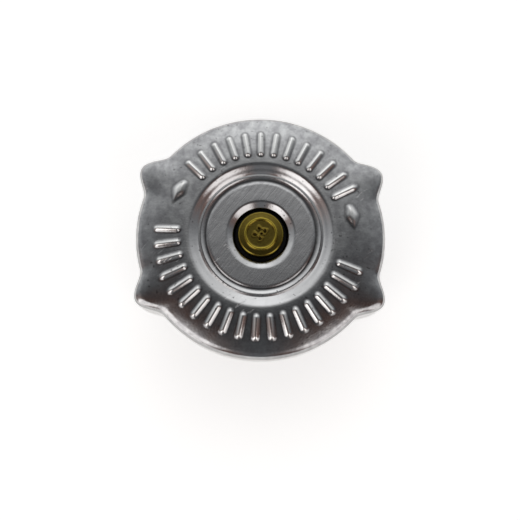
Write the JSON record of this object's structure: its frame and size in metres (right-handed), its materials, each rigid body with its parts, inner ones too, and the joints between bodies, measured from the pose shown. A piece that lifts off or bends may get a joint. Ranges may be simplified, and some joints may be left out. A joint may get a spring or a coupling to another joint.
{
  "type": "radiator cap",
  "caption": "Pressed steel radiator pressure cap with four grip ears, turning on a brass rivet, with a sprung pressure valve and a small vacuum valve under it.",
  "frame": {"origin": "on the cap's axis, on the sealing face of the pressure seal, which is the lowest face of the cap", "axes": "+Z along the cap's axis, up out of the filler neck; +X midway between the two right-hand ears, +Y to the back of the picture"},
  "size_m": [0.0644, 0.0634, 0.0307],
  "materials": {
    "shell_steel": "pressed bright stainless sheet, the centre plate brushed across",
    "rivet_brass": "turned and headed, slightly dull",
    "valve_brass": "drawn, satin",
    "spring_steel": "drawn wire and rolled strip",
    "plated_steel": "zinc plated, satin",
    "black_rubber": "moulded, matt"
  },
  "bodies": {
    "core": {"crown_rivet": "rivet_brass", "rivet_washer": "black_rubber", "spring_disc": "spring_steel", "neck_gasket": "black_rubber", "spring_bell": "plated_steel", "main_spring": "spring_steel"},
    "shell": {"shell": "shell_steel"},
    "pressure_valve": {"spring_follower": "plated_steel", "seal_plate": "plated_steel", "pressure_seal": "black_rubber", "valve_ferrule": "valve_brass", "vacuum_spring": "spring_steel"},
    "vacuum_valve": {"vacuum_valve": "valve_brass", "vacuum_seal": "black_rubber", "spring_keeper": "plated_steel"}
  },
  "joints": [
    {"name": "shell_turn", "type": "hinge", "parent": "core", "child": "shell", "pos_m": [0, 0, 0.0252], "axis": [0, 0, 1], "continuous": true},
    {"name": "pressure_lift", "type": "slide", "parent": "core", "child": "pressure_valve", "axis": [0, 0, 1], "range_m": [0, 0.0059], "stiffness_N_per_m": 12600, "springref_m": -0.0002, "deforming": ["main_spring"]},
    {"name": "vacuum_drop", "type": "slide", "parent": "pressure_valve", "child": "vacuum_valve", "axis": [0, 0, -1], "range_m": [0, 0.0022], "stiffness_N_per_m": 60, "springref_m": -0.004, "deforming": ["vacuum_spring"]}
  ]
}
